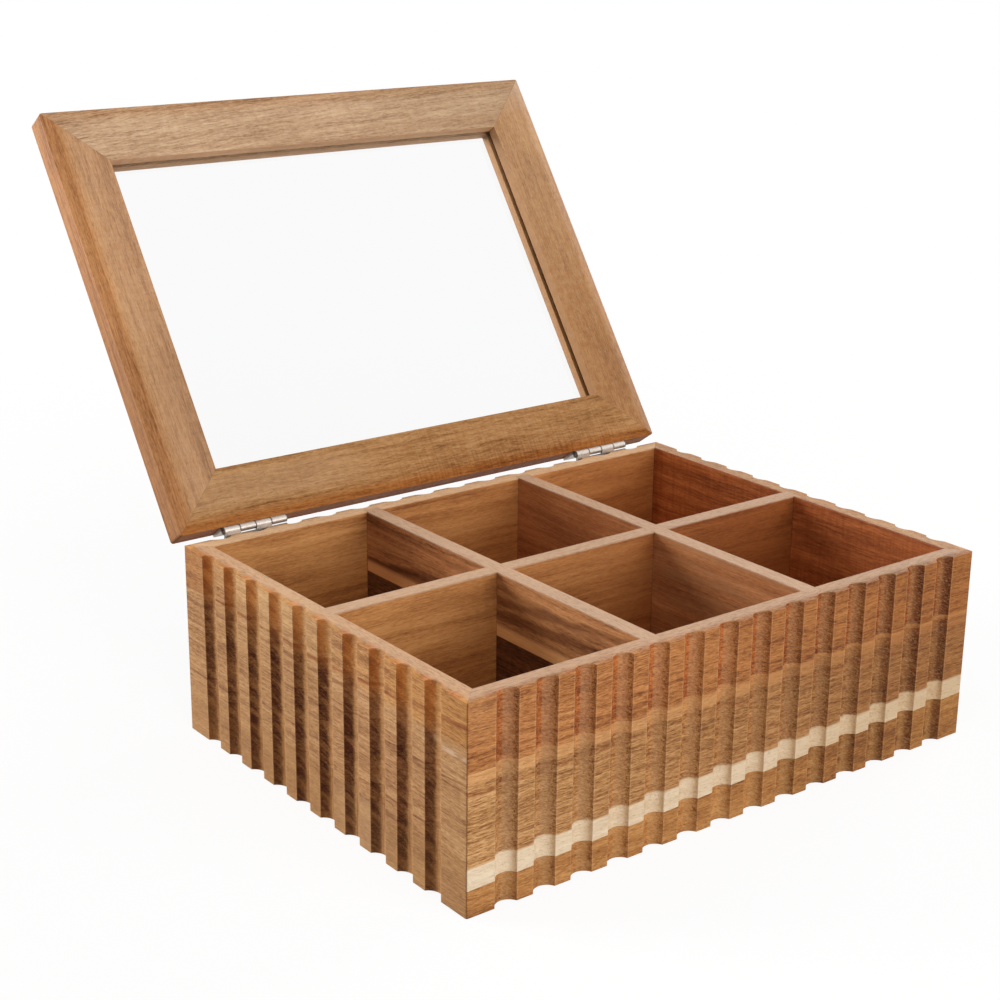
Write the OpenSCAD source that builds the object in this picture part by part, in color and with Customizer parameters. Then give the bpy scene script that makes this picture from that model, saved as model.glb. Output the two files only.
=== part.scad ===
// Tea bag organizer box: a fluted hardwood box with six compartments and a
// hinged, framed glass lid.
//
// Frame: the origin is the centre of the underside, +Z is up, +X runs along
// the long side and +Y points to the hinged back. The lid is drawn standing
// open, leaning back on its hinges.

/* [Box] */
// Outside width of the box, along the hinges
box_w = 240; // [200:1:320]
// Outside depth of the box, from front to back
box_d = 181; // [150:1:240]
// Height of the walls, from the underside to the rim
box_h = 76; // [62:1:120]
// Thickness of the four walls
wall_t = 7.8; // [7:0.1:12]
// Rounding of the upright outside corners
box_corner_r = 0.8; // [0.3:0.1:1.5]
// Width of the eased band along the outside of the rim
rim_ease_w = 3.5; // [2:0.1:4]
// How far the eased band falls at its outer arris
rim_ease_drop = 0.5; // [0.2:0.1:0.9]

/* [Flutes] */
// Spacing of the upright grooves
flute_pitch = 16; // [14:0.5:20]
// Radius of the groove's round section
flute_r = 5; // [4.5:0.1:5.5]
// Depth of a groove below the face
flute_depth = 3; // [1.5:0.1:3]
// Least plain width kept beside each corner
flute_margin = 9; // [7:0.5:12]

/* [Glued staves] */
// Height of the upper glue line of the front wall
front_upper_line = 51; // [40:0.5:55]
// Height of the lower glue line of the front wall at its left end
front_lower_line_left = 9.8; // [8:0.1:30]
// Height of the lower glue line of the front wall at its right end
front_lower_line_right = 17.3; // [8:0.1:30]
// Height of the left wall's glue line at the back
left_line_back = 22; // [12:0.5:50]
// Height of the left wall's glue line at the front
left_line_front = 18; // [12:0.5:50]
// Height of the right wall's glue line
right_line = 26; // [12:0.5:50]
// Height of the back wall's glue line
back_line = 34; // [12:0.5:50]
// Height of the glue line in the left cross divider
divider_line = 51; // [48:0.5:56]

/* [Dividers and floor] */
// Thickness of the dividers
divider_t = 6.5; // [4:0.1:8]
// Depth of the slots that hold the divider ends in the walls
slot_depth = 2.5; // [1:0.1:3]
// Thickness of the floor panel
floor_t = 5; // [3:0.1:6]
// Width of the rebate round the underside that holds the floor panel
rebate_w = 2.5; // [1.5:0.1:3]

/* [Lid] */
// Thickness of the lid frame
lid_t = 11; // [10:0.1:16]
// Width of the frame members
lid_frame_w = 23.3; // [18:0.1:35]
// Space between the rim and the lid when it is closed
lid_gap = 0.25; // [0.1:0.05:0.6]
// Width of the eased band along the outside of the lid, on both faces
lid_ease_w = 5.2; // [3:0.1:7]
// How far that band falls at its outer arris
lid_ease_drop = 0.7; // [0.3:0.1:1]
// Rounding of the lid's four corners
lid_corner_r = 1.2; // [0.5:0.1:3]
// Thickness of the pane
glass_t = 2.5; // [2:0.1:4]
// Distance from the lid's underside to the pane
glass_rise = 4.6; // [3:0.1:5.5]
// Depth of the groove that holds the pane
glass_groove = 6; // [3:0.1:8]
// Angle at which the lid stands open
lid_open_angle = 125; // [95:1:135]

/* [Hinges] */
// Length of each hinge
hinge_len = 28; // [25:0.5:30]
// Knuckles on each hinge
hinge_knuckles = 4; // [4:2:6]
// Outside radius of the knuckles
knuckle_r = 1.5; // [1.3:0.05:1.6]
// Radius of the hinge pin
pin_r = 0.75; // [0.6:0.05:0.9]
// How far the pin's ends lie inside the barrel
pin_recess = 0.6; // [0.2:0.1:1.5]
// Thickness of the leaves
leaf_t = 1; // [0.8:0.05:1.2]
// Reach of a leaf from the pin's centre line
leaf_reach = 9.1; // [8:0.1:9.2]
// Distance of the pin's centre line behind the back face
hinge_out = 1.6; // [1.6:0.05:2.2]
// Height of the pin's centre line above the rim
hinge_up = 1.2; // [0.9:0.05:1.6]

/* [Screws] */
// Distance of the screws from the pin's centre line
screw_reach = 5; // [4.4:0.1:5.5]
// Radius of a screw's shank
screw_r = 1.1; // [0.8:0.05:1.3]
// Radius of a screw's head
screw_head_r = 2; // [1.6:0.05:2.2]
// Height of a screw's countersunk head
screw_head_h = 0.8; // [0.5:0.05:0.8]
// Length of a screw, head and point included
screw_len = 6; // [5:0.1:7]
// Length of a screw's point
screw_point = 1.8; // [1:0.1:2.5]
// Width of the cross cut in a screw's head
driver_w = 0.5; // [0.3:0.05:0.8]
// Length of the cross cut
driver_l = 2.2; // [1.4:0.1:2.6]
// Depth of the cross cut
driver_depth = 0.45; // [0.2:0.05:0.6]

/* [Fits] */
// Space left on each side of a divider or panel in its slot
glue_gap = 0.05; // [0:0.01:0.15]
// Space beside the pane in its groove
glass_play = 0.15; // [0.05:0.05:0.3]
// Radial clearance of the pin in the knuckles
pin_fit = 0.05; // [0.02:0.01:0.1]
// Gap between neighbouring knuckles
knuckle_gap = 0.15; // [0.1:0.05:0.3]
// Space between a leaf and the other leaf's knuckles
leaf_fit = 0.3; // [0.2:0.05:0.5]
// Radial clearance of a screw in its hole
screw_fit = 0.05; // [0.02:0.01:0.1]

/* [Hidden] */

over = 1;                       // how far a cut runs past what it cuts
compartments_across = 3;

// Flutes: as many as fit between the plain corners
flute_w = 2 * sqrt(flute_r * flute_r - pow(flute_r - flute_depth, 2));
function flute_count(length) =
    1 + floor((length - 2 * flute_margin - flute_w) / flute_pitch);
function flute_x(length, i) = (i - (flute_count(length) - 1) / 2) * flute_pitch;

// Compartments: three equal ones across, two equal ones deep
inner_w = box_w - 2 * wall_t;
inner_d = box_d - 2 * wall_t;
compartment_w = (inner_w - (compartments_across - 1) * divider_t) / compartments_across;
cross_x = (compartment_w + divider_t) / 2;
lap_z = (floor_t + box_h) / 2;
slot_w = divider_t + 2 * glue_gap;
divider_end = slot_depth - glue_gap;

// Lid, as it lies when closed
lid_z = box_h + lid_gap;
groove_h = glass_t + glass_play;
pane_w = box_w - 2 * lid_frame_w + 2 * (glass_groove - glass_play);
pane_d = box_d - 2 * lid_frame_w + 2 * (glass_groove - glass_play);

// Hinges: each is centred behind the second groove from its corner, so that
// its screws enter the flat lands on both sides of that groove
hinge_y = box_d / 2 + hinge_out;
hinge_z = box_h + hinge_up;
hinge_x = flute_x(box_w, flute_count(box_w) - 2);
knuckle_len = hinge_len / hinge_knuckles;
screw_x = flute_pitch / 2;
leaf_face = leaf_t - hinge_out;     // the leaf's outer face, from the pin

wood_tan = [0.72, 0.52, 0.34];
wood_orange = [0.68, 0.42, 0.24];
wood_brown = [0.55, 0.35, 0.21];
wood_light = [0.76, 0.58, 0.40];
steel = [0.72, 0.70, 0.67];

// ---------------------------------------------------------------- helpers

module rounded_rect(w, d, r) {
    square([w - 2 * r, d], center = true);
    square([w, d - 2 * r], center = true);
    for (sx = [-1, 1], sy = [-1, 1])
        translate([sx * (w / 2 - r), sy * (d / 2 - r)]) circle(r = r, $fn = 48);
}

// Waste outside an eased edge: the flat top is at v = 0, the arris at u = 0
module ease_waste(run, drop) {
    radius = (run * run + drop * drop) / (2 * drop);
    difference() {
        translate([-over, -drop - over]) square([run + over, drop + 2 * over]);
        translate([run, -radius]) circle(r = radius, $fn = 240);
    }
}

// A board along X with its outer face at y = -outer, mitred at both ends.
// The child is its cross section: u runs inward from the outer face, v up.
module mitred_board(length, outer, thickness, height, corner_r) {
    cut = thickness + over;
    intersection() {
        translate([-length / 2 - over, -outer, 0]) rotate([90, 0, 90])
            linear_extrude(height = length + 2 * over) children();
        translate([0, 0, -over]) linear_extrude(height = height + 2 * over)
            intersection() {
                rounded_rect(length, 2 * outer, corner_r);
                polygon([[-length / 2 - over, -outer - over],
                         [length / 2 + over, -outer - over],
                         [length / 2 - cut, -outer + cut],
                         [-length / 2 + cut, -outer + cut]]);
            }
    }
}

// ------------------------------------------------------------------ walls

module wall_section() {
    difference() {
        square([wall_t, box_h]);
        translate([0, box_h]) ease_waste(rim_ease_w, rim_ease_drop);
        translate([wall_t - rebate_w, -over])
            square([rebate_w + over, floor_t + over]);
    }
}

// One wall in the front position; slots lists where dividers enter it
module wall(length, outer, slots) {
    difference() {
        mitred_board(length, outer, wall_t, box_h, box_corner_r) wall_section();
        for (i = [0 : flute_count(length) - 1])
            translate([flute_x(length, i), -outer - flute_r + flute_depth, -over])
                cylinder(r = flute_r, h = box_h + 2 * over, $fn = 96);
        for (x = slots)
            translate([x - slot_w / 2, -outer + wall_t - slot_depth, floor_t])
                cube([slot_w, slot_depth + over, box_h]);
    }
}

// Everything below a straight glue line with these heights at the two ends
module below_line(length, outer, left_z, right_z) {
    slope = (right_z - left_z) / length;
    reach = length / 2 + over;
    mid_z = (left_z + right_z) / 2;
    rotate([90, 0, 0])
        linear_extrude(height = 2 * (outer + over), center = true)
            polygon([[-reach, -over], [reach, -over],
                     [reach, mid_z + slope * reach],
                     [-reach, mid_z - slope * reach]]);
}

module front_wall() wall(box_w, box_d / 2, [-cross_x, cross_x]);
module side_wall() wall(box_d, box_w / 2, [0]);
module front_below_upper() below_line(box_w, box_d / 2, front_upper_line, front_upper_line);
module front_below_lower()
    below_line(box_w, box_d / 2, front_lower_line_left, front_lower_line_right);

module front_wall_top_stave() color(wood_orange)
    difference() { front_wall(); front_below_upper(); }

module front_wall_middle_stave() color(wood_tan)
    difference() {
        intersection() { front_wall(); front_below_upper(); }
        front_below_lower();
    }

module front_wall_bottom_stave() color(wood_orange)
    intersection() { front_wall(); front_below_lower(); }

// The back wall takes the hinge screws near its rim
module back_wall() difference() {
    rotate([0, 0, 180]) front_wall();
    for (hx = [-hinge_x, hinge_x]) at_hinge(hx) box_screw_places() screw_pilot();
}
module back_below_line() below_line(box_w, box_d / 2, back_line, back_line);

module back_wall_upper_stave() color(wood_tan)
    difference() { back_wall(); back_below_line(); }

module back_wall_lower_stave() color(wood_orange)
    intersection() { back_wall(); back_below_line(); }

module left_below_line()
    below_line(box_d, box_w / 2, left_line_back, left_line_front);

module left_wall_upper_stave() color(wood_tan) rotate([0, 0, -90])
    difference() { side_wall(); left_below_line(); }

module left_wall_lower_stave() color(wood_orange) rotate([0, 0, -90])
    intersection() { side_wall(); left_below_line(); }

module right_below_line() below_line(box_d, box_w / 2, right_line, right_line);

module right_wall_upper_stave() color(wood_tan) rotate([0, 0, 90])
    difference() { side_wall(); right_below_line(); }

module right_wall_lower_stave() color(wood_orange) rotate([0, 0, 90])
    intersection() { side_wall(); right_below_line(); }

// ------------------------------------------------------ floor and dividers

// Let into the rebate, flush with the walls' lower edges
module floor_panel() color(wood_light) {
    w = inner_w + 2 * (rebate_w - glue_gap);
    d = inner_d + 2 * (rebate_w - glue_gap);
    translate([-w / 2, -d / 2, 0]) cube([w, d, floor_t]);
}

// A divider along X standing on the floor, its ends in the walls' slots
module divider_board(inner) {
    length = inner + 2 * divider_end;
    translate([-length / 2, -divider_t / 2, floor_t])
        cube([length, divider_t, box_h - floor_t]);
}

// The long divider is notched from above, the cross dividers from below
module long_divider() color(wood_tan) difference() {
    divider_board(inner_w);
    for (x = [-cross_x, cross_x])
        translate([x - slot_w / 2, -divider_t, lap_z])
            cube([slot_w, 2 * divider_t, box_h]);
}

module cross_divider() difference() {
    rotate([0, 0, 90]) divider_board(inner_d);
    translate([-divider_t, -slot_w / 2, 0])
        cube([2 * divider_t, slot_w, lap_z]);
}

module divider_below_line()
    below_line(box_d, divider_t, divider_line, divider_line);

module left_cross_divider_upper_stave() color(wood_brown)
    translate([-cross_x, 0, 0]) difference() {
        cross_divider();
        rotate([0, 0, 90]) divider_below_line();
    }

module left_cross_divider_lower_stave() color(wood_brown)
    translate([-cross_x, 0, 0]) intersection() {
        cross_divider();
        rotate([0, 0, 90]) divider_below_line();
    }

module right_cross_divider() color(wood_tan)
    translate([cross_x, 0, 0]) cross_divider();

// ------------------------------------------------------------------ hinges

// Hinge coordinates: the origin is on the pin's centre line, X along it
module at_hinge(x) translate([x, hinge_y, hinge_z]) children();

module along_pin(x0, length) translate([x0, 0, 0]) rotate([0, 90, 0])
    linear_extrude(height = length) children();

// A leaf that hangs below the pin; it owns knuckles first, first + 2, ...
module hinge_leaf(first) {
    difference() {
        union() {
            translate([-hinge_len / 2, -hinge_out, -leaf_reach])
                cube([hinge_len, leaf_t, leaf_reach - knuckle_r - leaf_fit]);
            for (k = [first : 2 : hinge_knuckles - 1]) {
                x0 = -hinge_len / 2 + k * knuckle_len
                    + (k == 0 ? 0 : knuckle_gap / 2);
                x1 = -hinge_len / 2 + (k + 1) * knuckle_len
                    - (k == hinge_knuckles - 1 ? 0 : knuckle_gap / 2);
                along_pin(x0, x1 - x0) circle(r = knuckle_r, $fn = 64);
                translate([x0, -hinge_out, -knuckle_r - leaf_fit - over])
                    cube([x1 - x0, leaf_t, knuckle_r + leaf_fit + over]);
            }
        }
        along_pin(-hinge_len / 2 - over, hinge_len + 2 * over)
            circle(r = pin_r + pin_fit, $fn = 48);
        box_screw_places() screw_seat();
    }
}

// The lid's leaf is the same stamping turned over
module box_leaf(x) color(steel) at_hinge(x) hinge_leaf(0);
module lid_leaf(x) color(steel) at_hinge(x) mirror([0, 0, 1]) hinge_leaf(1);

module hinge_pin(x) color(steel) at_hinge(x)
    along_pin(-hinge_len / 2 + pin_recess, hinge_len - 2 * pin_recess)
        circle(r = pin_r, $fn = 48);

// Where the screws sit in a leaf: Z becomes the way that a screw goes in
module box_screw_places() for (sx = [-screw_x, screw_x])
    translate([sx, leaf_face, -screw_reach]) rotate([90, 0, 0]) children();
module lid_screw_places() mirror([0, 0, 1]) box_screw_places() children();

module screw() difference() {
    rotate_extrude($fn = 48)
        polygon([[0, 0], [screw_head_r, 0], [screw_r, screw_head_h],
                 [screw_r, screw_len - screw_point], [0, screw_len]]);
    for (a = [0, 90]) rotate([0, 0, a])
        translate([-driver_l / 2, -driver_w / 2, -over])
            cube([driver_l, driver_w, driver_depth + over]);
}

module screw_seat() rotate_extrude($fn = 48)
    polygon([[0, -over], [screw_head_r + screw_fit, -over],
             [screw_head_r + screw_fit, 0],
             [screw_r + screw_fit, screw_head_h],
             [screw_r + screw_fit, leaf_t + over], [0, leaf_t + over]]);

module screw_pilot()
    cylinder(r = screw_r + screw_fit, h = screw_len + screw_fit, $fn = 48);

module left_hinge_box_leaf() box_leaf(-hinge_x);
module right_hinge_box_leaf() box_leaf(hinge_x);
module left_hinge_pin() hinge_pin(-hinge_x);
module right_hinge_pin() hinge_pin(hinge_x);
module box_hinge_screws() color(steel)
    for (hx = [-hinge_x, hinge_x]) at_hinge(hx) box_screw_places() screw();

// --------------------------------------------------------------------- lid

// Turns what is drawn on the closed lid to where the lid stands open
module opened() translate([0, hinge_y, hinge_z]) rotate([-lid_open_angle, 0, 0])
    translate([0, -hinge_y, -hinge_z]) children();

module lid_section() {
    difference() {
        square([lid_frame_w, lid_t]);
        translate([0, lid_t]) ease_waste(lid_ease_w, lid_ease_drop);
        mirror([0, 1]) ease_waste(lid_ease_w, lid_ease_drop);
        translate([lid_frame_w - glass_groove, glass_rise])
            square([glass_groove + over, groove_h]);
    }
}

// A frame member in the front position of the closed lid
module lid_member(length, outer) translate([0, 0, lid_z])
    mitred_board(length, outer, lid_frame_w, lid_t, lid_corner_r) lid_section();

module lid_front_rail() color(wood_light) opened() lid_member(box_w, box_d / 2);

module lid_back_rail() color(wood_tan) opened() difference() {
    rotate([0, 0, 180]) lid_member(box_w, box_d / 2);
    for (hx = [-hinge_x, hinge_x]) at_hinge(hx) lid_screw_places() screw_pilot();
}

module lid_left_stile() color(wood_orange) opened()
    rotate([0, 0, -90]) lid_member(box_d, box_w / 2);

module lid_right_stile() color(wood_tan) opened()
    rotate([0, 0, 90]) lid_member(box_d, box_w / 2);

module lid_glass() color([0.92, 0.96, 0.95, 0.35]) opened()
    translate([-pane_w / 2, -pane_d / 2, lid_z + glass_rise])
        cube([pane_w, pane_d, glass_t]);

module left_hinge_lid_leaf() opened() lid_leaf(-hinge_x);
module right_hinge_lid_leaf() opened() lid_leaf(hinge_x);
module lid_hinge_screws() color(steel) opened()
    for (hx = [-hinge_x, hinge_x]) at_hinge(hx) lid_screw_places() screw();

// -------------------------------------------------------------------- draw

front_wall_top_stave();
front_wall_middle_stave();
front_wall_bottom_stave();
back_wall_upper_stave();
back_wall_lower_stave();
left_wall_upper_stave();
left_wall_lower_stave();
right_wall_upper_stave();
right_wall_lower_stave();
floor_panel();
long_divider();
left_cross_divider_upper_stave();
left_cross_divider_lower_stave();
right_cross_divider();
left_hinge_box_leaf();
right_hinge_box_leaf();
left_hinge_pin();
right_hinge_pin();
box_hinge_screws();
lid_front_rail();
lid_back_rail();
lid_left_stile();
lid_right_stile();
lid_glass();
left_hinge_lid_leaf();
right_hinge_lid_leaf();
lid_hinge_screws();
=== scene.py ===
import math

import bpy
from mathutils import Matrix, Vector

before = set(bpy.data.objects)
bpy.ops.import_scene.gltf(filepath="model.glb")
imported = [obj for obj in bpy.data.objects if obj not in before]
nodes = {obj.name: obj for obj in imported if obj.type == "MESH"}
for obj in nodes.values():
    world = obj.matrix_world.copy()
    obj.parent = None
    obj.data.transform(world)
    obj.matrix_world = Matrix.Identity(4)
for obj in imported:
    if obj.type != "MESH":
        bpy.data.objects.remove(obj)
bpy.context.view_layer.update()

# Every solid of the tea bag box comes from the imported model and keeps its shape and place.
# This script gives each one its finish, and adds the floor, the light and the camera.
# The finishes measure in millimetres on the standing box, or on the lid turned down.

bpy.ops.object.select_all(action="DESELECT")

# The box and lid, as the solids have them
BOX_W, BOX_D, BOX_H = 240.0, 181.0, 76.0
WALL, DIVIDER, CROSS_X = 7.8, 6.5, 38.483
FLUTE_PITCH, FLUTE_DEPTH = 16.0, 3.0
LID_FRAME, LID_ANGLE = 23.3, 125.0
KNUCKLE, KNUCKLE_R = 7.0, 1.5
HINGE_X, HINGE_Y, HINGE_Z = 88.0, BOX_D / 2 + 1.6, BOX_H + 1.2

# Heights of the glue lines: a slanting one at its middle, with its rise from end to end
FRONT_LOWER_LINE, FRONT_LOWER_RISE = 13.55, 7.5
LEFT_LINE, LEFT_RISE = 20.0, 4.0
RIGHT_LINE, BACK_LINE = 26.0, 34.0
FRONT_UPPER_BAND, DIVIDER_LINE = 51.2, 51.0

# The photograph's camera, solved from the box's corners, flutes and dividers: angles in
# radians, place in metres
CAMERA_AZIMUTH, CAMERA_ELEVATION, CAMERA_ROLL = 0.65663, 0.31696, 0.010576
CAMERA_PLACE = (-0.448515, -0.532179, 0.322720)
SENSOR_MM, FOCAL_PIXELS, PHOTO_PIXELS = 36.0, 1938.38, 1000.0

# Surfaces: specular level, and how deep the relief is, in metres
TIMBER_SPECULAR, BACK_RAIL_SPECULAR, METAL_SPECULAR = 0.15, 0.03, 0.5
WALL_GRAIN, INNER_GRAIN, LID_GRAIN, BRUSH_MARKS = 0.00013, 0.00012, 0.00010, 0.00001

# Greys of the floor as seen and as it lights the box, and the room's light on the box
FLOOR_SEEN, FLOOR_LIT, ROOM_LIGHT = 0.86, 0.26, 0.11
FLOOR_Z = -0.0003

MM_PER_METRE = 1000.0
SEED_STEP = 371.0  # along the grain, from one board's figure to the next


# ------------------------------------------------------------- camera

def aim_camera():
    """Stands the camera where the photograph was taken from."""
    forward = Vector((math.sin(CAMERA_AZIMUTH) * math.cos(CAMERA_ELEVATION),
                      math.cos(CAMERA_AZIMUTH) * math.cos(CAMERA_ELEVATION),
                      -math.sin(CAMERA_ELEVATION)))
    right = forward.cross(Vector((0, 0, 1))).normalized()
    up = right.cross(forward)
    turned_right = right * math.cos(CAMERA_ROLL) + up * math.sin(CAMERA_ROLL)
    turned_up = up * math.cos(CAMERA_ROLL) - right * math.sin(CAMERA_ROLL)
    camera = bpy.data.objects.new("camera", bpy.data.cameras.new("camera"))
    bpy.context.scene.collection.objects.link(camera)
    turn = Matrix((turned_right, turned_up, -forward)).transposed()
    camera.matrix_world = Matrix.Translation(CAMERA_PLACE) @ turn.to_4x4()
    camera.data.sensor_width = SENSOR_MM
    camera.data.lens = SENSOR_MM * FOCAL_PIXELS / PHOTO_PIXELS
    camera.data.clip_start = 0.02
    camera.data.clip_end = 30.0
    bpy.context.scene.camera = camera


# ---------------------------------------------------- shader arithmetic

class Field:
    """A value that varies over a surface. Arithmetic on it adds Math nodes."""

    def __init__(self, owner, socket):
        self.owner = owner
        self.socket = socket

    def math(self, operation, *values):
        return self.owner.node("ShaderNodeMath", {"operation": operation},
                               dict(enumerate(values)))

    def __add__(self, other): return self.math("ADD", self, other)
    def __radd__(self, other): return self.math("ADD", other, self)
    def __sub__(self, other): return self.math("SUBTRACT", self, other)
    def __rsub__(self, other): return self.math("SUBTRACT", other, self)
    def __mul__(self, other): return self.math("MULTIPLY", self, other)
    def __rmul__(self, other): return self.math("MULTIPLY", other, self)
    def __truediv__(self, other): return self.math("DIVIDE", self, other)
    def __rtruediv__(self, other): return self.math("DIVIDE", other, self)
    def __mod__(self, other): return self.math("FLOORED_MODULO", self, other)
    def __pow__(self, other): return self.math("POWER", self, other)
    def __abs__(self): return self.math("ABSOLUTE", self)
    def min(self, other): return self.math("MINIMUM", self, other)
    def max(self, other): return self.math("MAXIMUM", self, other)
    def folded(self, period): return self.math("PINGPONG", self, period)

    def between(self, low, high):
        """0 at low, 1 at high, smooth in between; low may be above high."""
        return self.owner.node(
            "ShaderNodeMapRange", {"interpolation_type": "SMOOTHSTEP"},
            {"Value": self, "From Min": low, "From Max": high, "To Min": 0.0, "To Max": 1.0})

    def near(self, centre, half_width, fade):
        """1 within half_width of centre, falling to 0 over fade."""
        return abs(self - centre).between(half_width + fade, half_width)


class NodeTree:
    """The nodes of a material or of the room, ending in one surface."""

    def __init__(self, holder, ending):
        holder.use_nodes = True
        self.tree = holder.node_tree
        self.tree.nodes.clear()
        self.ending = self.tree.nodes.new(ending)

    def node(self, kind, settings=None, inputs=None, output=0):
        """Adds a node: its settings first, then the values or links of its sockets."""
        made = self.tree.nodes.new(kind)
        for key, value in (settings or {}).items():
            if key == "stops":
                ramp = made.color_ramp
                while len(ramp.elements) < len(value):
                    ramp.elements.new(1.0)
                for element, (position, colour) in zip(ramp.elements, value):
                    element.position = position
                    element.color = colour
            else:
                setattr(made, key, value)
        for key, value in (inputs or {}).items():
            if isinstance(value, Field):
                self.tree.links.new(value.socket, made.inputs[key])
            else:
                made.inputs[key].default_value = value
        return Field(self, made.outputs[output])

    def close(self, shader):
        self.tree.links.new(shader.socket, self.ending.inputs["Surface"])

    def seen_rays(self):
        """1 for a ray straight from the camera, off gloss or through glass, else 0."""
        camera, gloss, glass = (self.node("ShaderNodeLightPath", output=f"Is {kind} Ray")
                                for kind in ("Camera", "Glossy", "Transmission"))
        return camera.max(gloss).max(glass)


class Finish(NodeTree):
    """One material, closed by a surface of its own."""

    def __init__(self, name):
        self.material = bpy.data.materials.new(name)
        super().__init__(self.material, "ShaderNodeOutputMaterial")

    def vector(self, x, y, z):
        return self.node("ShaderNodeCombineXYZ", inputs={0: x, 1: y, 2: z})

    def split(self, vector):
        return [self.node("ShaderNodeSeparateXYZ", inputs={0: vector}, output=i)
                for i in range(3)]

    def length(self, x, y, z):
        return self.node("ShaderNodeVectorMath", {"operation": "LENGTH"},
                         {0: self.vector(x, y, z)}, output=1)

    def noise(self, x, y, z, detail=2.0, roughness=0.5):
        return self.node("ShaderNodeTexNoise", {"noise_dimensions": "3D"},
                         {"Vector": self.vector(x, y, z), "Scale": 1.0,
                          "Detail": detail, "Roughness": roughness})

    def mix(self, share, first, second, blend="MIX"):
        return self.node("ShaderNodeMix", {"data_type": "RGBA", "blend_type": blend},
                         {0: share, 6: first, 7: second}, output=2)

    def shade(self, colour, share, by):
        """Multiplies a colour's red, green and blue light, where share is 1."""
        return self.mix(share, colour, (*by, 1.0), "MULTIPLY")

    def ramp(self, value, stops):
        return self.node("ShaderNodeValToRGB", {"stops": stops}, {0: value})

    def place(self):
        """Position on the standing box, in millimetres."""
        here = self.node("ShaderNodeTexCoord", output="Object")
        return self.split(self.node("ShaderNodeVectorMath", {"operation": "SCALE"},
                                    {0: here, "Scale": MM_PER_METRE}))

    def place_on_closed_lid(self):
        """Position in millimetres with the lid turned down onto the rim."""
        here = self.node("ShaderNodeTexCoord", output="Object")
        closing = math.radians(LID_ANGLE)
        pin = Vector((0, HINGE_Y, HINGE_Z))
        return self.split(self.node("ShaderNodeMapping", {"vector_type": "POINT"}, {
            "Vector": here, "Location": pin - Matrix.Rotation(closing, 4, "X") @ pin,
            "Rotation": (closing, 0, 0), "Scale": (MM_PER_METRE,) * 3}))

    def surface(self, colour, roughness, bump, depth, specular=TIMBER_SPECULAR, metallic=0.0):
        """Closes the material with one Principled shader; depth is the bump's, in metres."""
        normal = self.node("ShaderNodeBump", inputs={
            "Height": bump, "Strength": 1.0, "Distance": depth})
        self.close(self.node("ShaderNodeBsdfPrincipled", inputs={
            "Base Color": colour, "Roughness": roughness, "Normal": normal,
            "Specular IOR Level": specular, "Metallic": metallic}))
        return self.material


def dress(name, material):
    """Gives a solid its finish."""
    piece = nodes[name]
    if not piece.material_slots:
        piece.data.materials.append(material)
    for slot in piece.material_slots:
        slot.material = material


# ------------------------------------------------------------- timber

def tint(red, green, blue):
    """A colour as read off a screen (0 to 255), as linear light."""
    def linear(v):
        v = v / 255.0
        return v / 12.92 if v <= 0.04045 else ((v + 0.055) / 1.055) ** 2.4
    return (linear(red), linear(green), linear(blue), 1.0)


def tones(light, middle, dark):
    """The three tones that a board's colour runs through."""
    return tint(*light), tint(*middle), tint(*dark)


ORANGE = tones((198, 139, 86), (170, 111, 61), (115, 64, 30))
TAN = tones((216, 170, 120), (184, 134, 84), (126, 80, 42))
SAPWOOD = tones((233, 216, 191), (221, 200, 171), (200, 172, 137))
FRONT_MIDDLE = tones((209, 164, 113), (179, 131, 81), (130, 83, 44))
FRONT_BOTTOM = tones((194, 142, 86), (169, 114, 62), (122, 74, 35))
LEFT_UPPER = tones((216, 172, 124), (188, 140, 92), (136, 88, 50))
LEFT_LOWER = tones((196, 151, 103), (171, 125, 78), (132, 88, 52))
INNER_TAN = tones((213, 159, 100), (186, 130, 76), (134, 82, 44))
INNER_RED = tones((196, 134, 86), (166, 105, 64), (116, 68, 38))
RIGHT_INNER = tones((208, 126, 74), (174, 97, 52), (116, 58, 29))
LEFT_CROSS_UPPER = tones((202, 146, 95), (172, 116, 71), (84, 49, 29))
LEFT_CROSS_LOWER = tones((128, 80, 48), (94, 54, 30), (50, 28, 16))
LID_FRONT = tones((203, 173, 142), (182, 149, 118), (138, 104, 76))
LID_LEFT = tones((196, 152, 110), (176, 131, 90), (132, 90, 56))
LID_RIGHT = tones((190, 150, 110), (170, 130, 90), (132, 92, 58))
LID_BACK = tones((178, 138, 95), (157, 115, 73), (114, 75, 41))

INNER_FIGURE = dict(rings=1.0, veins=0.6, fibre=1.0, cloud=1.1, lines=0.06, pores=0.25)
LID_FIGURE = dict(rings=1.1, veins=0.9, fibre=1.5, cloud=1.0, lines=0.05, pores=0.3)

# Tints of the painted sheen on the rims: the right's darker, the back's paler, which also
# stands in for light the lid's shadow takes away
RIM_SHEEN = tint(197, 166, 139)
LEFT_RIM_SHEEN = tint(206, 170, 138)
RIGHT_RIM_SHEEN = tint(182, 149, 124)
BACK_RIM_SHEEN = tint(219, 181, 142)
SANDED = tint(204, 166, 124)
ARRIS_WEAR_AND_HIGHLIGHT = tint(226, 190, 150)

# What a colour is multiplied by
GLUE = (0.42, 0.33, 0.28)
RED_BROWN = (0.52, 0.36, 0.28)
UMBER = (0.40, 0.27, 0.20)
DARK_VEIN = (0.48, 0.32, 0.22)
FLANK_SHADE = (0.20, 0.088, 0.052)


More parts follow.
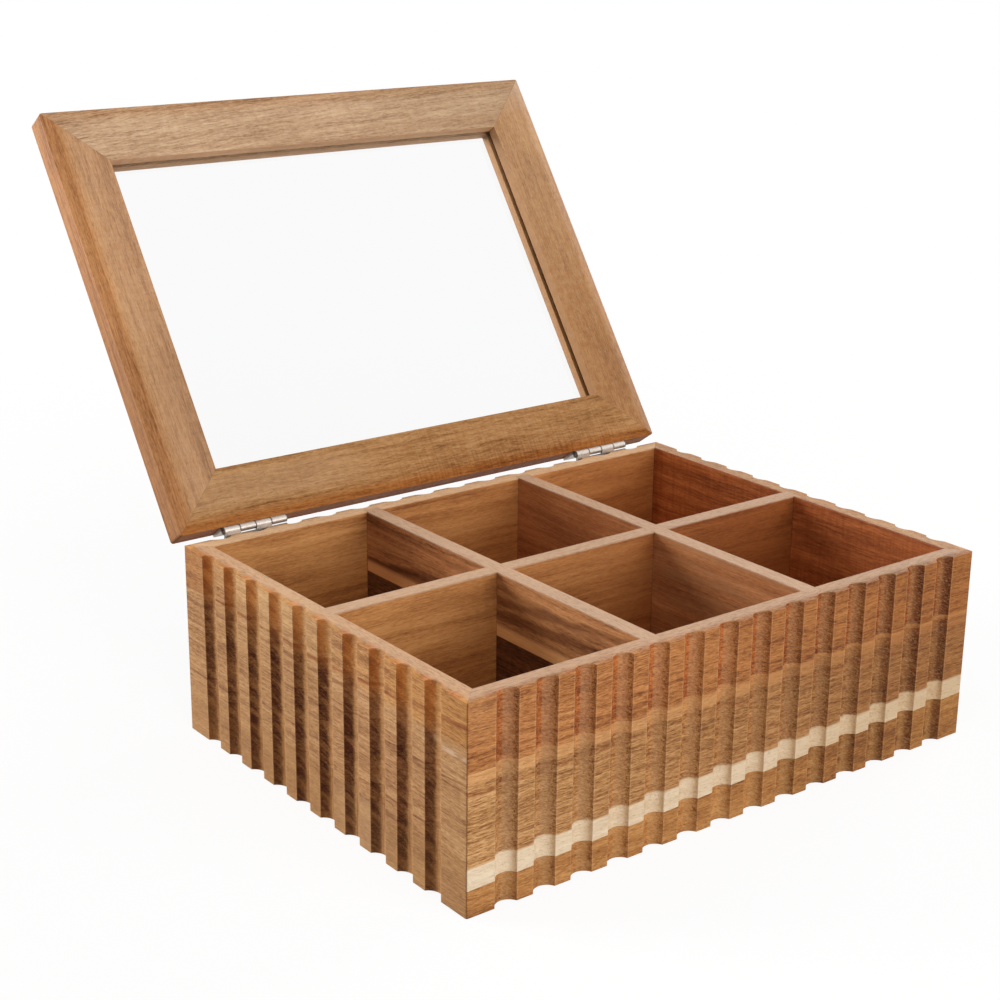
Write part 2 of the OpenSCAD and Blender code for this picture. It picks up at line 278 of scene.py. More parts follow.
class Board:
    """The figure of one board: along its grain, across it, and deep into it."""

    def __init__(self, owner, along, across, deep, seed, waviness=1.0, ring=3.0):
        self.owner = owner
        along = along + seed * SEED_STEP
        slow_bend = owner.noise(along / 60.0, across / 24.0, deep / 24.0) - 0.5
        quick_bend = owner.noise(along / 13.0, across / 5.0, deep / 5.0, 1.0) - 0.5
        across = across + (slow_bend * (4.2 * waviness) + quick_bend * (0.9 * waviness))
        self.cloud = owner.noise(along / 60.0, across / 15.0, deep / 15.0)
        self.rings = owner.noise(along / 150.0, across / ring, deep / (ring * 1.4), 3.0, 0.55)
        self.veins = owner.noise(along / 16.0, across / 0.85, deep / 1.1, roughness=0.6)
        self.fibre = owner.noise(along / 3.0, across / 0.45, deep / 0.45, 3.0, 0.65)
        speckle = owner.noise(along / 2.4, across / 0.34, deep / 0.34, 1.0)
        self.pores = speckle.between(0.60, 0.72)
        self.ring_lines = (self.rings * 9.0).folded(0.5).between(0.17, 0.0)

    def colour(self, palette, rings=1.2, veins=1.0, fibre=2.2, cloud=0.9, lines=0.10,
               pores=0.4):
        """The board's own colour; each number is the strength of one part of the figure."""
        light, middle, dark = palette
        tone = 0.5 + (self.rings - 0.5) * rings + (self.cloud - 0.5) * cloud \
            + (self.veins - 0.5) * veins + (self.fibre - 0.5) * fibre - self.ring_lines * lines
        colour = self.owner.ramp(tone, [(0.0, dark), (0.5, middle), (1.0, light)])
        return self.owner.shade(colour, self.pores * pores, (0.40, 0.30, 0.24))

    def relief(self):
        return self.fibre * 0.7 + self.veins * 0.3 - self.pores * 0.8

    def gloss(self, base=0.50):
        return base + (self.fibre - 0.5) * 0.25 + self.pores * 0.12


class BoxTimber(Finish):
    """The finish of a timber piece of the box, with where it is on the box."""

    def __init__(self, name):
        super().__init__(name)
        self.x, self.y, self.z = self.place()

    def paint_rim_sheen(self, colour, edge, sheen_share=0.80, rim_sheen_tint=RIM_SHEEN):
        """Painted sheen on the upper edge, with painted shade along its arrises; edge is how
        far in from the nearest arris.
        """
        fibre, veins = self.board.fibre, self.board.veins
        paler = self.mix(sheen_share + (fibre - 0.5) * 0.8, colour, rim_sheen_tint)
        paler = self.shade(paler, fibre.between(0.50, 0.34) * 0.5, (0.78, 0.68, 0.58))
        paler = self.shade(paler, veins.between(0.50, 0.72) * 0.45, (0.74, 0.64, 0.56))
        paler = self.shade(paler, edge.between(0.5, 0.0) * 0.25, (0.8, 0.72, 0.66))
        return self.mix(self.z.between(BOX_H - 0.75, BOX_H - 0.2), colour, paler)


def shade_toward_floor(part, colour):
    """Painted shade: inside the compartments the timber is painted redder and duller toward the
    floor, for the shade and red bounce light down there.
    """
    colour = part.shade(colour, part.z.between(66.0, 38.0) * 0.8, (0.94, 0.80, 0.66))
    return part.shade(colour, part.z.between(44.0, 8.0) * 0.8, (0.66, 0.50, 0.38))


# -------------------------------------------------------- fluted walls

class WallStave(BoxTimber):
    """One stave of a fluted wall, with where it lies on the wall."""

    def __init__(self, name, side, seed, waviness=1.0, ring=3.0):
        super().__init__(name)
        if side in ("front", "back"):
            self.run, half_run, self.divider_at = self.x, BOX_W / 2, CROSS_X
            through, half_through = self.y, BOX_D / 2
        else:
            self.run, half_run, self.divider_at = self.y, BOX_D / 2, 0.0
            through, half_through = self.x, BOX_W / 2
        self.deep = half_through - abs(through)
        self.corner = half_run - abs(self.run)
        self.board = Board(self, self.run, self.z, self.deep, seed, waviness, ring)
        self.across_flute = self.run % FLUTE_PITCH - FLUTE_PITCH / 2
        self.inside = self.deep.between(WALL - 0.6, WALL - 0.2)
        self.milled = self.deep.between(0.04, 0.35) \
            * (1.0 - self.deep.between(FLUTE_DEPTH + 0.3, FLUTE_DEPTH + 0.7))

    def finished(self, colour, flute_tint, glue_line=None, sheen_share=0.70, sandy=1.0,
                 rim_sheen_tint=RIM_SHEEN):
        """Flutes with painted shade on their steep flanks, arrises with wear and a painted
        highlight, joints, and the rim with its painted sheen, in that order, then the shader.
        """
        z, deep, corner, milled = self.z, self.deep, self.corner, self.milled
        specks = self.noise(self.run / 1.2, deep / 1.2, (z + self.across_flute * 0.4) / 0.42,
                            roughness=0.7)
        # The steep flanks darker: end grain, and painted shade.
        steep = abs(self.across_flute).between(3.2, 4.4) * milled
        colour = self.shade(colour, steep * 0.3, flute_tint)
        colour = self.shade(colour, milled * specks.between(0.50, 0.66) * (0.45 * sandy),
                            flute_tint)
        colour = self.mix(milled * specks.between(0.50, 0.36) * (0.20 * sandy), colour, SANDED)

        # The arrises a little paler: partly wear, partly a painted highlight.
        arris = abs(self.across_flute).near(4.75, 0.12, 0.3) * deep.between(0.3, 0.0) \
            * corner.between(7.0, 9.0)
        colour = self.mix(arris * 0.10, colour, ARRIS_WEAR_AND_HIGHLIGHT)

        colour = self.shade(colour, (corner - deep).near(0.0, 0.1, 0.3) * 0.75, GLUE)
        if glue_line is not None:
            colour = self.shade(colour, (z - glue_line).near(0.0, 0.05, 0.25) * 0.3, GLUE)
        slot = abs(abs(self.run) - self.divider_at).near(DIVIDER / 2, 0.08, 0.3) * self.inside
        colour = self.shade(colour, slot * 0.7, GLUE)

        # The rim's outer band is painted more orange, with less of the painted sheen.
        outer_rim = deep.between(3.0, 0.5) * z.between(BOX_H - 0.8, BOX_H - 0.2)
        colour = self.shade(colour, outer_rim, (1.0, 0.86, 0.54))
        colour = self.paint_rim_sheen(colour, (WALL - deep).min(deep),
                              (deep.between(0.8, 3.5) * 0.55 + 0.45) * sheen_share, rim_sheen_tint)
        colour = self.shade(colour, outer_rim, (1.02, 1.0, 0.83))
        return self.surface(colour, self.board.gloss() + milled * 0.1,
                            self.board.relief() + milled * specks * 0.5, WALL_GRAIN)

    def streak(self, colour, height, half, fade, strength, by, seed):
        """A dark streak along the grain at a height that may slope."""
        wander = (self.noise(self.run / 22.0 + seed, seed + 0.5, self.z / 9.0) - 0.5) * 3.0
        broken = self.noise(self.run / 30.0 - seed, seed + 3.5, self.z / 2.0).between(0.34, 0.6)
        line = (self.z - height + wander).near(0.0, half, fade)
        return self.shade(colour, line * broken * strength, by)


def front_lower_line(x):
    """Height of the front wall's lower glue line, which climbs to the right."""
    return FRONT_LOWER_LINE + x * (FRONT_LOWER_RISE / BOX_W)


def left_line(y):
    """Height of the left wall's glue line, which climbs to the back."""
    return LEFT_LINE + y * (LEFT_RISE / BOX_D)


def painted_shade_to_the_right(stave, colour, shares, start=-120.0, end=135.0):
    """Painted shade: takes shares of the red, green and blue light away toward the right, where
    the lamps light the box less.
    """
    along = stave.x.between(start, end)
    light_left = stave.vector(*[1.0 - along * share for share in shares])
    return stave.mix(1.0, colour, light_left, "MULTIPLY")


def paler_joint(stave, colour):
    """The paler band along the upper joint, clearer toward the right."""
    share = stave.z.near(FRONT_UPPER_BAND, 0.45, 0.8) \
        * (stave.x.between(-100.0, 60.0) * 0.45 + 0.1)
    return stave.mix(share, colour, tint(214, 158, 104))


def front_flutes(stave, colour, left_bounce_tint, left_bounce_share, flute_sheen_tint):
    """The front's flutes: painted redder and darker down their left side for the red bounce
    light there, a greyer painted sheen right of their middle, and painted shade on their right
    flank, deepest toward the right.
    """
    x, u, milled = stave.x, stave.across_flute, stave.milled
    middle, left_end = x.near(-24.0, 20.0, 36.0), x.between(-60.0, -96.0)
    along = (x + BOX_W / 2) / BOX_W
    # Painted bounce light: the left side of each flute redder and darker.
    colour = stave.shade(colour, milled * u.between(0.7, -0.4) * left_bounce_share, left_bounce_tint)
    # Painted sheen: a greyer band right of each flute's middle.
    colour = stave.mix(milled * u.near(1.8, 1.4, 0.6) * 0.5, colour, flute_sheen_tint)
    colour = stave.shade(colour, milled * middle, (1.13, 1.12, 1.09))
    colour = stave.shade(colour, milled * left_end, (0.95, 0.95, 0.96))
    # Painted shade on the right flank, deeper toward the right.
    right_flank_shade = u.between(2.6 - along * 1.5, 4.3 - along * 0.9)
    return stave.shade(colour, milled * right_flank_shade * ((along ** 4.0) * 1.4 + 0.1),
                       (0.50, 0.38, 0.31))


def dress_front_top():
    stave = WallStave("front_top_timber", "front", 1, waviness=0.9)
    x, z = stave.x, stave.z
    colour = stave.board.colour(ORANGE, rings=1.1, veins=1.1, lines=0.06)
    swirl = stave.noise(x / 16.0, z / 5.0, 3.0)
    colour = stave.mix(x.between(-102.0, -116.0) * z.between(56.0, 70.0) * swirl * 0.15,
                       colour, tint(212, 168, 124))
    for height, strength, seed in ((56.5, 0.5, 2.0), (60.5, 0.35, 5.0), (53.5, 0.45, 9.0)):
        colour = stave.streak(colour, height, 0.15, 0.6, strength, RED_BROWN, seed)
    colour = front_flutes(stave, colour, (0.86, 0.54, 0.30), 0.75, tint(158, 112, 80))
    colour = paler_joint(stave, colour)
    colour = painted_shade_to_the_right(stave, colour, (0.33, 0.42, 0.58))
    dress("front_wall_top_stave", stave.finished(colour, (0.56, 0.38, 0.30)))


def dress_front_middle():
    stave = WallStave("front_middle_timber", "front", 2, waviness=0.9, ring=2.4)
    x, z, board = stave.x, stave.z, stave.board
    colour = board.colour(FRONT_MIDDLE, veins=1.4, fibre=2.7, lines=0.08)
    band = stave.noise(x / 30.0, z / 4.0, 7.0)
    colour = stave.mix(z.between(46.4, 47.6) * (0.55 + (band - 0.5) * 1.2), colour,
                       tint(210, 154, 100))
    for height, half, fade, by, seed in (
            (44.6, 0.7, 1.3, (0.66, 0.44, 0.32), 12.0),
            (41.0, 0.1, 0.5, RED_BROWN, 14.0),
            (27.5 + x * 0.02, 0.1, 0.5, RED_BROWN, 16.0)):
        colour = stave.streak(colour, height, half, fade, 0.6, by, seed)
    above_joint = z - front_lower_line(x)
    fine = stave.noise(x / 7.0, z / 0.5, stave.deep / 0.5).between(0.50, 0.66)
    colour = stave.shade(colour, fine * above_joint.between(19.0, 9.0) * 0.6,
                         (0.62, 0.40, 0.26))
    colour = front_flutes(stave, colour, (0.88, 0.76, 0.62), 0.5, tint(162, 123, 86))
    colour = paler_joint(stave, colour)
    colour = painted_shade_to_the_right(stave, colour, (0.465, 0.59, 0.72), start=-150.0)

    sap = board.colour(SAPWOOD, rings=0.8, veins=0.6, fibre=0.8, cloud=0.6, lines=0.04,
                       pores=0.1)
    # The sapwood's steep flanks darker: end grain, and painted shade.
    flanks = stave.milled * abs(stave.across_flute).between(2.6, 4.4)
    sap = stave.shade(sap, flanks * 0.6, (0.92, 0.78, 0.62))
    sap = painted_shade_to_the_right(stave, sap, (0.28, 0.36, 0.45))
    ragged = above_joint + (board.veins - 0.5) * 1.8 + (board.fibre - 0.5) * 1.0
    colour = stave.mix(ragged.between(7.2, 8.4), sap, colour)
    dress("front_wall_middle_stave", stave.finished(colour, (0.68, 0.54, 0.42)))


def dress_front_bottom():
    stave = WallStave("front_bottom_timber", "front", 3, waviness=0.8, ring=4.0)
    colour = stave.board.colour(FRONT_BOTTOM, veins=1.1, cloud=1.4, lines=0.05)
    clouds = stave.noise(stave.x / 6.0, stave.z / 2.2, 5.0).between(0.48, 0.62)
    colour = stave.mix(stave.milled * clouds * 0.3, colour, tint(200, 160, 112))
    colour = front_flutes(stave, colour, (0.9, 0.78, 0.62), 0.5, tint(172, 128, 82))
    colour = painted_shade_to_the_right(stave, colour, (0.28, 0.32, 0.44))
    dress("front_wall_bottom_stave",
          stave.finished(colour, (0.68, 0.52, 0.40), front_lower_line(stave.x)))


def side_flutes(stave, colour):
    """Painted shade on the flank that faces the front, blotchy and deepest in the lower two
    thirds; the flank paler and more orange near the top, and the floor of each flute painted
    lighter.
    """
    y, z, u, milled = stave.y, stave.z, stave.across_flute, stave.milled
    middle, back_end, front_end = (y.near(4.0, 18.0, 24.0), y.between(46.0, 84.0),
                                   y.between(-60.0, -76.0))
    slow_run = stave.run / 16.0
    ragged = u + (stave.noise(u / 2.0, z / 5.0, slow_run, 3.0, 0.6) - 0.5) * 2.2
    flank = milled * ragged.between(1.0, 3.1)
    low = z.between(70.0, 50.0)
    deepest_shade = low * (z.near(38.0, 14.0, 20.0) * 0.2 + 0.8) \
        * (1.0 + middle * 0.12 - back_end * 0.25 - front_end * 0.1)
    slanting = z - u * 1.3
    blotches = stave.noise(stave.run / 14.0, slanting / 4.4, 1.0, 4.0, 0.66)
    colour = stave.mix(flank * (1.0 - low) * 0.5, colour, tint(232, 152, 80))
    # Painted shade on the flank that faces the front, with dark smears through it.
    colour = stave.shade(colour, flank * 0.55, (0.94, 0.74, 0.50))
    colour = stave.shade(colour, flank * (1.0 - low) * blotches.between(0.42, 0.62) * 0.6,
                         (0.50, 0.33, 0.22))
    colour = stave.shade(colour, flank * deepest_shade * (0.34 + blotches.between(0.38, 0.60) * 0.66),
                         FLANK_SHADE)
    scratches = stave.noise(u / 1.1, slanting / 0.4, slow_run).between(0.56, 0.70)
    colour = stave.mix(flank * low * scratches * 0.35, colour, tint(200, 138, 84))

    # Painted light: the floor of each flute lighter, with fine dark lines low down.
    floor = milled * ragged.between(2.4, 1.2) * u.between(-3.2, -1.4)
    lines = stave.noise(u / 0.30, z / 18.0, slow_run).between(0.46, 0.64)
    colour = stave.mix(floor * 0.4, colour, tint(226, 170, 112))
    return stave.shade(colour, floor * (1.0 - z.between(14.0, 44.0)) * lines * 0.7,
                       (0.56, 0.40, 0.30))


def finish_left(name, stave, colour):
    """What both staves of the left wall end with."""
    # The left rim gets its own tint of painted sheen.
    dress(name, stave.finished(side_flutes(stave, colour), (0.6, 0.44, 0.34),
                               left_line(stave.y), sandy=0.4, rim_sheen_tint=LEFT_RIM_SHEEN))


def dress_left_upper():
    stave = WallStave("left_upper_timber", "left", 6)
    y, z = stave.y, stave.z
    colour = stave.board.colour(LEFT_UPPER, veins=1.1, fibre=2.0, lines=0.08)
    upper = z.between(58.0, 62.0)
    colour = stave.mix(upper * y.near(16.0, 14.0, 24.0) * 0.2, colour, tint(214, 174, 126))
    front_half, front_end, back_end = (y.between(10.0, -60.0), y.between(-64.0, -84.0),
                                       y.between(44.0, 86.0))
    away_from_palest = abs(y + 45.0).between(15.0, 50.0)
    for share, by in (
            (upper * front_half * 0.6, (1.0, 0.80, 0.42)),
            (upper * front_end, (0.88, 0.83, 0.75)),
            (upper * back_end, (0.77, 0.60, 0.42)),
            (1.0 - upper, (0.87, 0.83, 0.80)),
            (away_from_palest, (0.94, 0.945, 0.90))):
        colour = stave.shade(colour, share, by)
    for climbing_forward, fade, strength, by, seed in (
            (60.6 + y.between(10.0, -110.0) * 7.0, 0.8, 0.95, (0.58, 0.34, 0.20), 21.0),
            (55.2 + y.between(70.0, -70.0) * 2.6, 0.9, 0.75, (0.50, 0.36, 0.30), 23.0)):
        colour = stave.streak(colour, climbing_forward, 0.35, fade, strength, by, seed)
    pale_streak = stave.noise(y / 6.0, z / 0.6, 3.0).between(0.36, 0.60)
    colour = stave.mix(z.near(55.9, 0.4, 0.9) * y.between(-62.0, -76.0) * pale_streak * 0.6,
                       colour, tint(214, 186, 160))
    for height, strength, seed in (
            (63.5, 0.5, 25.0), (50.0, 0.45, 26.0), (46.6, 0.8, 27.0), (44.2, 0.6, 28.0),
            (38.0, 0.5, 29.0), (30.4, 0.55, 30.0), (25.5, 0.7, 31.0)):
        colour = stave.streak(colour, height, 0.12, 0.45, strength, DARK_VEIN, seed)
    fine = stave.noise(y / 11.0, z / 0.8, stave.deep / 0.8).between(0.50, 0.68)
    streaky = fine * z.near(45.0, 5.0, 5.0) * y.between(20.0, -20.0)
    colour = stave.shade(colour, streaky * 0.55, (0.56, 0.38, 0.26))
    finish_left("left_wall_upper_stave", stave, colour)


def dress_left_lower():
    stave = WallStave("left_lower_timber", "left", 7, waviness=0.7, ring=5.0)
    colour = stave.board.colour(LEFT_LOWER, rings=0.9, veins=0.8, fibre=1.6, cloud=1.2,
                                lines=0.04)
    colour = stave.shade(colour, stave.y.near(16.0, 20.0, 16.0), (0.91, 0.87, 0.80))
    colour = stave.mix(stave.y.near(-30.0, 8.0, 10.0) * 0.25, colour, tint(204, 164, 122))
    finish_left("left_wall_lower_stave", stave, colour)


def right_inner_face(stave):
    """Redder than the rest, finely rippled, and with painted shade in the back corner."""
    y = stave.y
    ripple = stave.noise(y / 1.6, stave.z / 14.0, 2.0, 1.0)
    colour = stave.board.colour(RIGHT_INNER, veins=0.9, fibre=1.0, lines=0.05, pores=0.2)
    colour = stave.shade(colour, ripple.between(0.4, 0.65) * 0.3, (0.66, 0.50, 0.40))
    colour = stave.shade(colour, y.between(0.0, 50.0), (1.13, 1.10, 1.03))
    # Painted shade in the back corner.
    back_corner_shade = stave.corner.between(17.0, 9.0) * y.between(0.0, 20.0)
    return stave.shade(colour, back_corner_shade * 0.7, (0.56, 0.46, 0.36))


def back_inner_face(stave):
    """Tan, with painted shade darker to the right."""
    colour = stave.board.colour(INNER_TAN, **INNER_FIGURE)
    shade_rightward = stave.x.between(-120.0, 120.0)
    return stave.shade(colour, shade_rightward * (stave.z.between(BOX_H, 62.0) * 0.3 + 0.7),
                       (0.74, 0.54, 0.43))


def dress_right_and_back():
    # The last two columns give each rim's painted sheen: weaker and darker on the right, fuller
    # and paler on the back.
    for side, line, upper_seed, inner_face, sheen_share, rim_sheen_tint in (
            ("right", RIGHT_LINE, 8, right_inner_face, 0.38, RIGHT_RIM_SHEEN),
            ("back", BACK_LINE, 4, back_inner_face, 0.95, BACK_RIM_SHEEN)):
        for level, seed, palette in (("upper", upper_seed, TAN),
                                     ("lower", upper_seed + 1, ORANGE)):
            name = f"{side}_wall_{level}_stave"
            stave = WallStave(name + "_timber", side, seed)
            colour = stave.mix(stave.inside, stave.board.colour(palette),
                               shade_toward_floor(stave, inner_face(stave)))
            dress(name, stave.finished(colour, UMBER, line, sheen_share, 0.6, rim_sheen_tint))


# ------------------------------------------------- dividers and floor

class Divider(BoxTimber):
    """One divider, or one stave of it; stands_at is its middle, across its run."""

    def __init__(self, name, runs_along, seed, stands_at=0.0):
        super().__init__(name + "_timber")
        self.name = name
        if runs_along == "x":
            run, self.deep = self.x, self.y
        else:
            run, self.deep = self.y, self.x - stands_at
        self.board = Board(self, run, self.z, self.deep, seed)

    def finish(self, colour):
        # The divider's top gets the painted sheen as well.
        colour = self.paint_rim_sheen(colour, DIVIDER / 2 - abs(self.deep))
        dress(self.name, self.surface(colour, self.board.gloss(), self.board.relief(),
                                      INNER_GRAIN))


def dress_long_divider():
    divider = Divider("long_divider", "x", 21)
    x, z = divider.x, divider.z
    colour = divider.board.colour(INNER_TAN, **INNER_FIGURE)
    # Painted shade, darker to the right.
    colour = divider.shade(colour, x.between(-120.0, 100.0), (0.52, 0.33, 0.25))
    colour = shade_toward_floor(divider, colour)
    lap_joint = abs(abs(x) - CROSS_X).near(DIVIDER / 2, 0.08, 0.3) * z.between(75.9, 75.0)
    divider.finish(divider.shade(colour, lap_joint * 0.7, GLUE))


def dress_right_cross_divider():
    divider = Divider("right_cross_divider", "y", 22, CROSS_X)
    y, z = divider.y, divider.z
    colour = divider.board.colour(INNER_RED, **INNER_FIGURE)
    greyer = divider.noise(y / 50.0, z / 3.5, 4.0).between(0.42, 0.62)
    colour = divider.mix(greyer * y.between(10.0, -20.0) * 0.3, colour, tint(160, 118, 82))
    colour = divider.shade(colour, y.between(-10.0, 40.0), (1.04, 0.95, 0.88))
    divider.finish(shade_toward_floor(divider, colour))


def dress_left_cross_divider():
    upper = Divider("left_cross_divider_upper_stave", "y", 23, -CROSS_X)
    y, z = upper.y, upper.z
    colour = upper.board.colour(LEFT_CROSS_UPPER, rings=1.3, veins=0.9, fibre=1.1, lines=0.06,
                                pores=0.25)
    wander = (upper.noise(y / 20.0, z / 9.0, 6.0) - 0.5) * 5.0
    for height, half, strength in (
            (64.5 - y * 0.10, 0.6, 0.7), (60.0 - y * 0.05, 1.2, 0.75),
            (70.0 + y * 0.04, 0.5, 0.45)):
        colour = upper.shade(colour, (z - height + wander).near(0.0, half, 1.6) * strength,
                             (0.40, 0.30, 0.26))
    pale_band = z.between(57.0, 54.5)
    colour = upper.mix(pale_band * 0.75, colour, tint(242, 182, 120))
    colour = upper.shade(colour, pale_band * upper.board.veins.between(0.46, 0.64) * 0.4,
                         (0.80, 0.66, 0.52))
    colour = upper.shade(colour, y.between(-10.0, 40.0), (0.94, 0.84, 0.80))
    colour = upper.shade(colour, (z - DIVIDER_LINE).near(0.0, 0.1, 0.3) * 0.6, GLUE)
    upper.finish(colour)

    lower = Divider("left_cross_divider_lower_stave", "y", 24, -CROSS_X)
    lower.finish(lower.board.colour(LEFT_CROSS_LOWER))


def dress_floor_panel():
    panel = BoxTimber("floor_panel_timber")
    board = Board(panel, panel.x, panel.y, panel.z, 25)
    dress("floor_panel", panel.surface(board.colour(ORANGE), board.gloss(0.6), board.relief(),
                                       INNER_GRAIN))


# ---------------------------------------------------------------- lid

class LidPart(Finish):
    """One rail or stile of the lid, read with the lid turned down."""

    def __init__(self, name, runs_along, seed, waviness, ring, lean=0.0):
        super().__init__(name + "_timber")
        self.name = name
        self.x, self.y, self.z = self.place_on_closed_lid()
        along, across = (self.x, self.y) if runs_along == "x" else (self.y, self.x)
        self.board = Board(self, along, across + along * lean, self.z, seed, waviness, ring)
        self.from_side = BOX_W / 2 - abs(self.x)
        self.from_end = BOX_D / 2 - abs(self.y)
        self.ripples = self.noise(along / 1.2, across / 9.0, self.z / 9.0).between(0.44, 0.62)

    def finish(self, colour, mitre_strength=0.35, reveal_light_tint=tint(196, 150, 108),
               specular=TIMBER_SPECULAR):
        """Ripples, mitres and the reveal round the pane, painted paler as painted light, then
        the shader.
        """
        colour = self.shade(colour, self.ripples * 0.22, (0.82, 0.70, 0.56))
        mitre = (self.from_side - self.from_end).near(0.0, 0.05, 0.28)
        colour = self.shade(colour, mitre * mitre_strength, GLUE)
        from_rim = self.from_side.min(self.from_end)
        # Painted light: the reveal round the pane paler, where it lies in shade.
        reveal = from_rim.between(LID_FRAME - 0.15, LID_FRAME - 0.03)
        colour = self.mix(reveal * 0.5, colour, reveal_light_tint)
        dress(self.name, self.surface(colour, self.board.gloss(0.48), self.board.relief(),
                                      LID_GRAIN, specular))


def dress_lid_front_rail():
    rail = LidPart("lid_front_rail", "x", 31, waviness=1.2, ring=2.6, lean=0.06)
    x, y, from_end = rail.x, rail.y, rail.from_end
    colour = rail.board.colour(LID_FRONT, **LID_FIGURE)
    slanting = rail.noise(x / 11.0, (y + x * 0.17) / 0.8, 1.0).between(0.50, 0.68)
    for share, by in (
            (slanting * x.between(-10.0, -60.0) * 0.5, (0.64, 0.50, 0.40)),
            # painted shade on the rounded outer edge
            (from_end.between(7.0, 1.0) * 0.6, (0.92, 0.76, 0.58)),
            (from_end.near(19.0, 1.5, 2.0) * x.between(20.0, 70.0) * 0.5, (0.7, 0.56, 0.48)),
            (x.between(0.0, 80.0), (0.88, 0.89, 0.86))):
        colour = rail.shade(colour, share, by)
    rail.finish(colour, reveal_light_tint=tint(212, 158, 108))


def dress_lid_left_stile():
    stile = LidPart("lid_left_stile", "y", 33, waviness=0.8, ring=2.2)
    x, y = stile.x, stile.y
    colour = stile.board.colour(LID_LEFT, **LID_FIGURE)
    mottle = stile.noise(x / 2.2, y / 6.0, 2.0, 3.0)
    colour = stile.mix(stile.from_side.between(5.0, 12.0) * mottle * 0.5, colour,
                       tint(186, 152, 124))
    # Painted shade on the rounded outer edge, with grain stripes along it.
    outer = stile.from_side.between(8.0, 4.0)
    colour = stile.shade(colour, outer * 0.8, (0.94, 0.76, 0.56))
    stripes = stile.noise(y / 40.0, x / 0.9, stile.z / 0.9).between(0.52, 0.68)
    colour = stile.shade(colour, outer * stripes * 0.55, (0.62, 0.44, 0.32))
    colour = stile.shade(colour, y.between(-25.0, 30.0), (0.84, 0.83, 0.80))
    stile.finish(colour, mitre_strength=0.25)


def dress_lid_right_stile():
    stile = LidPart("lid_right_stile", "y", 34, waviness=0.8, ring=4.0)
    x, y = stile.x, stile.y
    colour = stile.board.colour(LID_RIGHT, rings=0.8, veins=0.5, fibre=1.2, lines=0.03)
    low = y.between(-60.0, 50.0)
    colour = stile.shade(colour, low, (0.77, 0.66, 0.49))
    mottle = stile.noise(x / 3.0, y / 3.5, 5.0, 3.0).between(0.45, 0.62)
    colour = stile.shade(colour, (0.35 + low * 0.65) * mottle * 0.5, (0.80, 0.62, 0.44))
    smear = stile.noise(x / 12.0, y / 6.0, 9.0)
    colour = stile.mix(y.between(-70.0, -84.0) * smear * 0.5, colour, tint(184, 160, 142))
    stile.finish(colour)


def dress_lid_back_rail():
    rail = LidPart("lid_back_rail", "x", 32, waviness=1.0, ring=2.4)
    x, y, from_end = rail.x, rail.y, rail.from_end
    colour = rail.board.colour(LID_BACK, **LID_FIGURE)
    # Painted shade on the rounded edge by the hinge and on its end face.
    colour = rail.shade(colour, from_end.between(6.5, 1.5) * 0.85, (0.79, 0.51, 0.25))
    ripples = rail.noise(x / 1.0, y / 14.0, 3.0).between(0.42, 0.60)
    colour = rail.shade(colour, x.near(45.0, 50.0, 30.0) * ripples
                        * (from_end.between(16.0, 4.0) * 0.3 + 0.2), (0.74, 0.54, 0.36))
    colour = rail.mix(x.between(-20.0, -60.0) * from_end.near(14.0, 4.0, 5.0) * 0.3, colour,
                      tint(180, 148, 116))
    rail.finish(colour, specular=BACK_RAIL_SPECULAR)


def dress_pane():
    """Clear flat glass: straight through, with a reflection that grows toward grazing."""
    pane = Finish("clear_pane")
    x, y, z = pane.place_on_closed_lid()
    smear = pane.noise(x / 40.0, y / 40.0, z, 3.0)
    mirror = pane.node("ShaderNodeBsdfPrincipled", inputs={
        "Base Color": (0.92, 0.92, 0.92, 1.0),
        "Roughness": (smear - 0.35).max(0.0) * 0.06 + 0.02, "Metallic": 1.0})
    clear = pane.node("ShaderNodeBsdfTransparent",
                      inputs={"Color": (0.978, 0.979, 0.978, 1.0)})
    grazing = pane.node("ShaderNodeLayerWeight", inputs={"Blend": 0.5}, output=1)
    reflected = grazing ** 5.0 * 0.9 + 0.035
    pane.close(pane.node("ShaderNodeMixShader", inputs={0: reflected, 1: clear, 2: mirror}))
    dress("lid_glass", pane.material)


def dress_metal():
    """Dull nickel on the leaves, pins and screws, with painted shade where two knuckles meet.
    """
    plate = Finish("nickel_plate")
    x, y, z = plate.place()
    brush = plate.noise(x / 6.0, y / 0.12, z / 0.12)
    spots = plate.noise(x / 0.9, y / 0.9, z / 0.9, 3.0)
    uneven = (brush - 0.5) * 0.5 + (spots - 0.5) * 0.5 + 0.5
    colour = plate.ramp(uneven, [(0.2, tint(154, 145, 137)), (0.8, tint(194, 185, 177))])
    from_joint = (abs(x) - HINGE_X).folded(KNUCKLE / 2)
    from_pin = plate.length(0.0, y - HINGE_Y, z - HINGE_Z)
    barrel = from_pin.between(KNUCKLE_R + 0.3, KNUCKLE_R + 0.1)
    # Painted shade in the gaps where two knuckles meet.
    colour = plate.shade(colour, barrel * from_joint.between(0.5, 0.1) * 0.75,
                         (0.10, 0.08, 0.07))
    plate.surface(colour, 0.50 + (spots - 0.5) * 0.2, brush, BRUSH_MARKS, METAL_SPECULAR,
                  metallic=1.0)
    for name in nodes:
        if "hinge" in name:
            dress(name, plate.material)


# -------------------------------------------------------------- stage

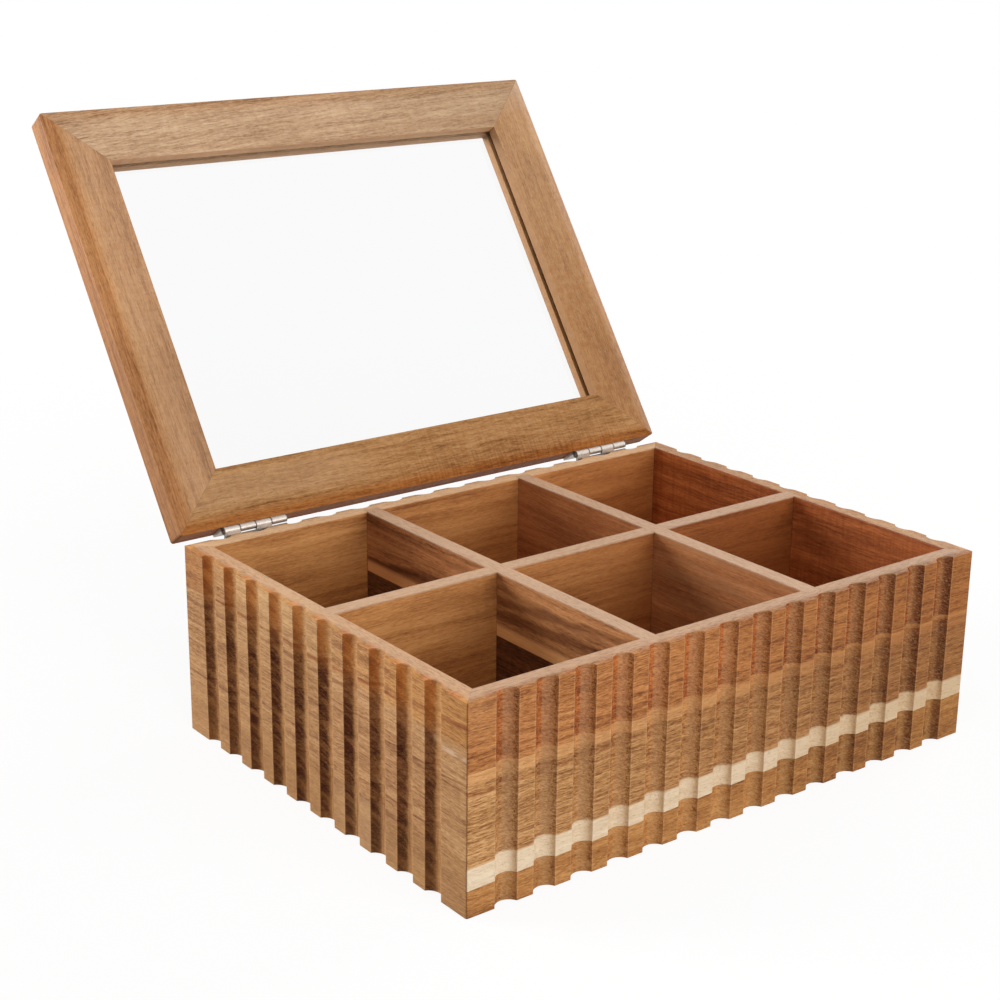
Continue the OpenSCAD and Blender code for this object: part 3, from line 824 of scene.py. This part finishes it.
def lay_floor():
    """A pale floor that keeps the box's shadow and fades into the white room."""
    bpy.ops.mesh.primitive_plane_add(size=60.0, location=(0, 0, FLOOR_Z))
    floor = bpy.context.object
    floor.name = "floor"
    bpy.ops.object.transform_apply(location=True, rotation=True, scale=True)
    pale = Finish("pale_floor")
    x, y, _ = pale.place()
    whiteness = 0.88 + pale.length(x, y, 0.0).between(250.0, 700.0) * 0.12
    paper, dim_paper = (pale.node("ShaderNodeBsdfDiffuse", inputs={
        "Color": (grey, grey, grey, 1.0)}) for grey in (FLOOR_SEEN, FLOOR_LIT))
    glow = pale.node("ShaderNodeEmission", inputs={"Color": (1, 1, 1, 1), "Strength": 1.0})
    shown = pale.node("ShaderNodeMixShader", inputs={0: whiteness, 1: paper, 2: glow})
    pale.close(pale.node("ShaderNodeMixShader",
                         inputs={0: pale.seen_rays(), 1: dim_paper, 2: shown}))
    floor.data.materials.append(pale.material)


def light_room():
    """A white room that lights the box only faintly, and four softboxes."""
    world = bpy.data.worlds.new("studio")
    bpy.context.scene.world = world
    room = NodeTree(world, "ShaderNodeOutputWorld")
    lit, white = (room.node("ShaderNodeBackground", inputs={
        "Color": (1, 1, 1, 1), "Strength": strength}) for strength in (ROOM_LIGHT, 1.0))
    room.close(room.node("ShaderNodeMixShader", inputs={0: room.seen_rays(), 1: lit, 2: white}))

    for name, place, power, size in (
            ("front_softbox", (0.25, -1.20, 0.34), 12.5, 0.7),
            ("back_left_softbox", (-1.05, 0.95, 0.42), 21.0, 0.7),
            ("right_softbox", (1.28, 0.12, 0.50), 14.0, 0.8),
            ("overhead_softbox", (-0.45, -0.55, 1.20), 9.5, 0.8)):
        lamp = bpy.data.lights.new(name, "AREA")
        lamp.shape = "SQUARE"
        lamp.size = size
        lamp.energy = power
        lamp.color = (1.0, 0.985, 0.965)
        holder = bpy.data.objects.new(name, lamp)
        bpy.context.scene.collection.objects.link(holder)
        holder.location = place
        aim = Vector((0, 0, 0.06)) - Vector(place)
        holder.rotation_euler = aim.to_track_quat("-Z", "Y").to_euler()


aim_camera()
lay_floor()
light_room()
dress_front_top()
dress_front_middle()
dress_front_bottom()
dress_left_upper()
dress_left_lower()
dress_right_and_back()
dress_long_divider()
dress_right_cross_divider()
dress_left_cross_divider()
dress_floor_panel()
dress_lid_front_rail()
dress_lid_left_stile()
dress_lid_right_stile()
dress_lid_back_rail()
dress_pane()
dress_metal()

bpy.context.scene.view_settings.view_transform = "Standard"
